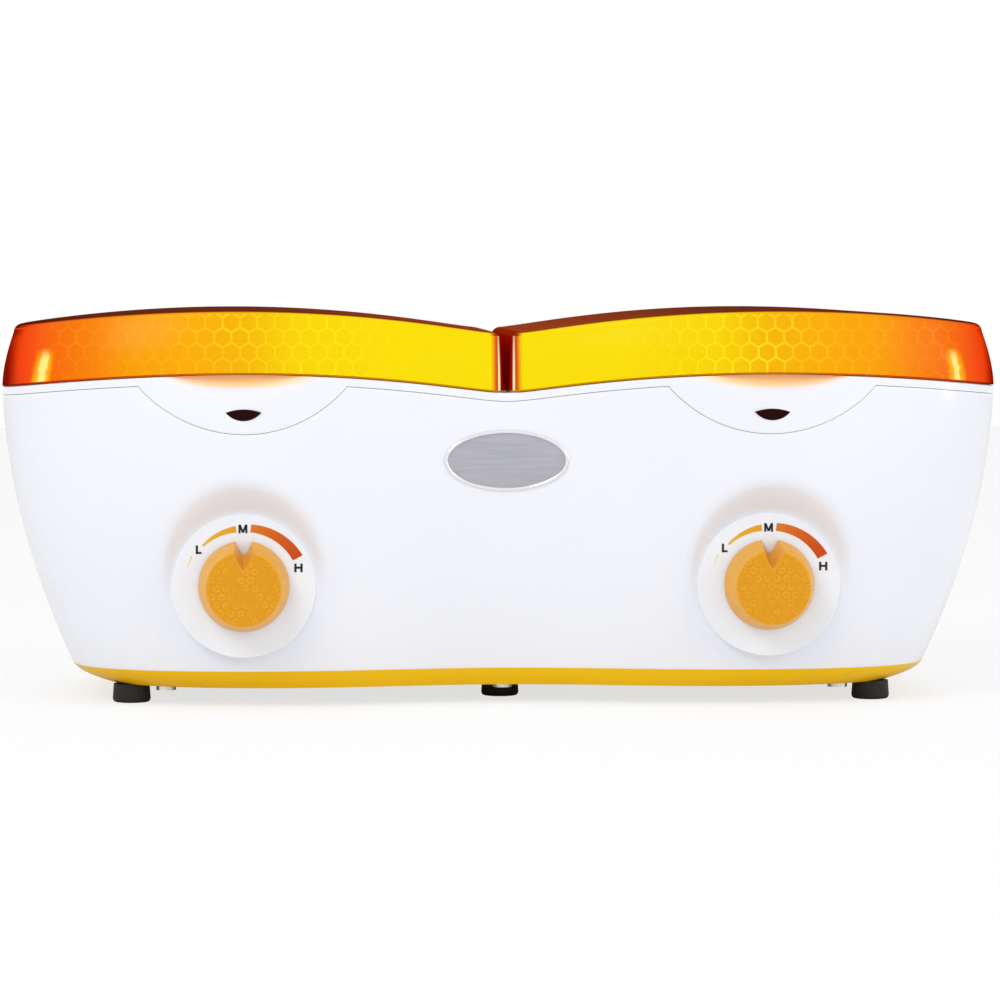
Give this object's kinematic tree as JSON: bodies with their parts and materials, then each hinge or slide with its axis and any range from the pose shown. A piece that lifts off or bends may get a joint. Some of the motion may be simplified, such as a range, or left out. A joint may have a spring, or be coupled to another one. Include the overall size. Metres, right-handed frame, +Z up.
{
  "type": "double wax warmer",
  "caption": "Two heated wax wells side by side in one waisted housing, each with a hinged translucent lid, a rotary thermostat knob and a pilot light.",
  "frame": {"origin": "on the table under the middle of the overall width and depth, at the undersides of the feet", "axes": "+Z up, +X towards the right-hand well seen from the front, -Y towards the user and the knobs"},
  "size_m": [0.387, 0.2033, 0.151],
  "materials": {
    "white_housing": "glossy",
    "yellow_tray": "glossy",
    "amber_lid": "translucent, honeycomb pattern inside",
    "pin_steel": "ground",
    "well_aluminium": "spun",
    "heater_steel": "rolled",
    "jacket_wool": "woven glass fibre",
    "thermostat_black": "moulded phenolic",
    "shaft_steel": "turned",
    "nut_brass": "turned",
    "golden_knob": "satin with a fine honeycomb relief",
    "lens_red": "glossy, translucent",
    "lamp_glass": "clear",
    "badge_silver": "brushed",
    "badge_chrome": "polished",
    "foot_rubber": "matt",
    "screw_steel": "zinc plated",
    "terminal_plastic": "moulded",
    "gland_rubber": "moulded"
  },
  "bodies": {
    "housing": {"base_tray": "yellow_tray", "main_shell": "white_housing", "top_deck": "white_housing", "left_hinge_pin": "pin_steel", "right_hinge_pin": "pin_steel", "left_well": "well_aluminium", "right_well": "well_aluminium", "left_heater_band": "heater_steel", "right_heater_band": "heater_steel", "left_jacket": "jacket_wool", "right_jacket": "jacket_wool", "left_thermostat": "thermostat_black", "right_thermostat": "thermostat_black", "left_thermostat_nut": "nut_brass", "right_thermostat_nut": "nut_brass", "left_pilot_lens": "lens_red", "right_pilot_lens": "lens_red", "left_pilot_lamp": "lamp_glass", "right_pilot_lamp": "lamp_glass", "badge_plate": "badge_silver", "badge_rim": "badge_chrome", "front_left_foot": "foot_rubber", "front_middle_foot": "foot_rubber", "front_right_foot": "foot_rubber", "rear_left_foot": "foot_rubber", "rear_middle_foot": "foot_rubber", "rear_right_foot": "foot_rubber", "housing_screws": "screw_steel", "terminal_block": "terminal_plastic", "cord_gland": "gland_rubber"},
    "left_lid": {"left_lid": "amber_lid"},
    "right_lid": {"right_lid": "amber_lid"},
    "left_dial": {"left_knob": "golden_knob", "left_thermostat_shaft": "shaft_steel"},
    "right_dial": {"right_knob": "golden_knob", "right_thermostat_shaft": "shaft_steel"}
  },
  "joints": [
    {"name": "left_lid_hinge", "type": "hinge", "parent": "housing", "child": "left_lid", "pos_m": [-0.09965, 0.09926, 0.125], "axis": [-1, 0, 0], "range_deg": [0, 95]},
    {"name": "right_lid_hinge", "type": "hinge", "parent": "housing", "child": "right_lid", "pos_m": [0.09965, 0.09926, 0.125], "axis": [-1, 0, 0], "range_deg": [0, 95]},
    {"name": "left_knob_turn", "type": "hinge", "parent": "housing", "child": "left_dial", "pos_m": [-0.09965, -0.08362, 0.0467], "axis": [0, 1, 0], "range_deg": [-67, 67]},
    {"name": "right_knob_turn", "type": "hinge", "parent": "housing", "child": "right_dial", "pos_m": [0.09965, -0.08362, 0.0467], "axis": [0, 1, 0], "range_deg": [-67, 67]}
  ]
}
